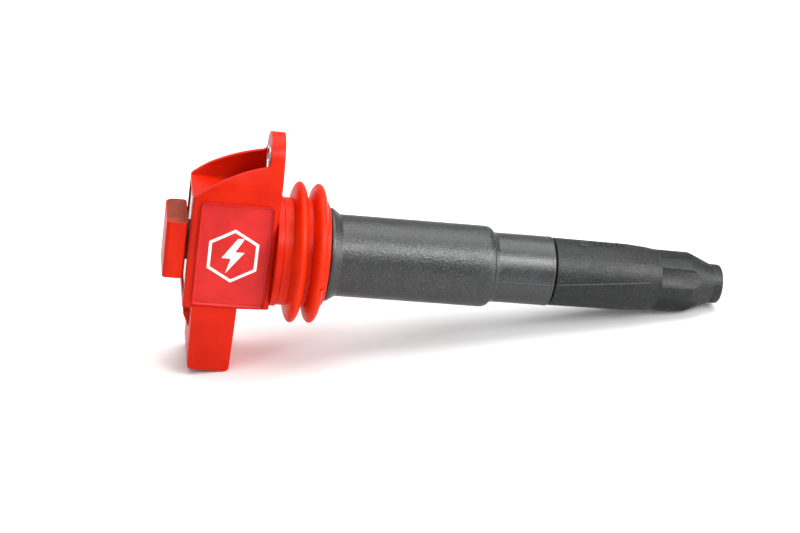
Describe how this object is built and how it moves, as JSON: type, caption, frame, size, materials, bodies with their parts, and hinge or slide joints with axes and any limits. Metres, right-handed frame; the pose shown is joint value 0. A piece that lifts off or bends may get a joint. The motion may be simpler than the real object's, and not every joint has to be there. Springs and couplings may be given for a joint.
{
  "type": "ignition coil",
  "caption": "Coil-on-plug ignition coil: red potted head with fixing ear and connector socket, ribbed well seal, grey winding stem and a fluted rubber plug boot with a sprung contact.",
  "frame": {"origin": "on the coil axis, in the plane where the head seats on the cylinder head cover", "axes": "+X along the coil axis from the head to the boot mouth, +Z towards the fixing ear, the label is on the -Y side"},
  "size_m": [0.1912, 0.0472, 0.081],
  "materials": {
    "housing_red": "moulded, semi-gloss",
    "potting_resin": "poured resin, glossy",
    "bushing_steel": "turned",
    "terminal_brass": "stamped, tinned",
    "box_resin": "poured resin, matt",
    "capacitor_case": "dipped",
    "circuit_board": "solder mask",
    "chip_black": "moulded epoxy",
    "spreader_aluminium": "rolled",
    "link_copper": "stamped copper",
    "label_film": "printed film",
    "seal_rubber": "moulded silicone",
    "upper_sleeve_grey": "moulded, satin",
    "lower_sleeve_grey": "moulded, satin",
    "shield_steel": "rolled",
    "winding_copper": "enamelled copper wire",
    "bobbin_ivory": "moulded",
    "bobbin_dark": "moulded",
    "cushion_rubber": "moulded",
    "magnet_grey": "sintered, coated",
    "core_steel": "laminated",
    "resistor_ceramic": "ceramic",
    "spring_steel": "drawn wire",
    "contact_brass": "turned",
    "boot_rubber": "moulded, matt"
  },
  "bodies": {
    "coil": {"head_housing": "housing_red", "head_potting": "potting_resin", "ear_bushing": "bushing_steel", "connector_terminals": "terminal_brass", "end_box": "housing_red", "end_box_resin": "box_resin", "suppression_capacitor": "capacitor_case", "igniter_board": "circuit_board", "driver_transistor": "chip_black", "control_chip": "chip_black", "heat_spreader": "spreader_aluminium", "supply_links": "link_copper", "label": "label_film", "well_seal": "seal_rubber", "upper_sleeve": "upper_sleeve_grey", "lower_sleeve": "lower_sleeve_grey", "return_shield": "shield_steel", "primary_winding": "winding_copper", "primary_bobbin": "bobbin_ivory", "secondary_winding": "winding_copper", "secondary_bobbin": "bobbin_dark", "winding_cap": "bobbin_ivory", "core_cushion": "cushion_rubber", "upper_magnet": "magnet_grey", "core": "core_steel", "lower_magnet": "magnet_grey", "hv_terminal": "terminal_brass", "suppression_resistor": "resistor_ceramic", "resistor_caps": "bushing_steel", "contact_spring": "spring_steel", "boot": "boot_rubber"},
    "contact": {"contact_cap": "contact_brass"}
  },
  "joints": [
    {"name": "contact_press", "type": "slide", "parent": "coil", "child": "contact", "axis": [-1, 0, 0], "range_m": [0, 0.005], "stiffness_N_per_m": 600, "springref_m": -0.003, "deforming": ["contact_spring"]}
  ]
}
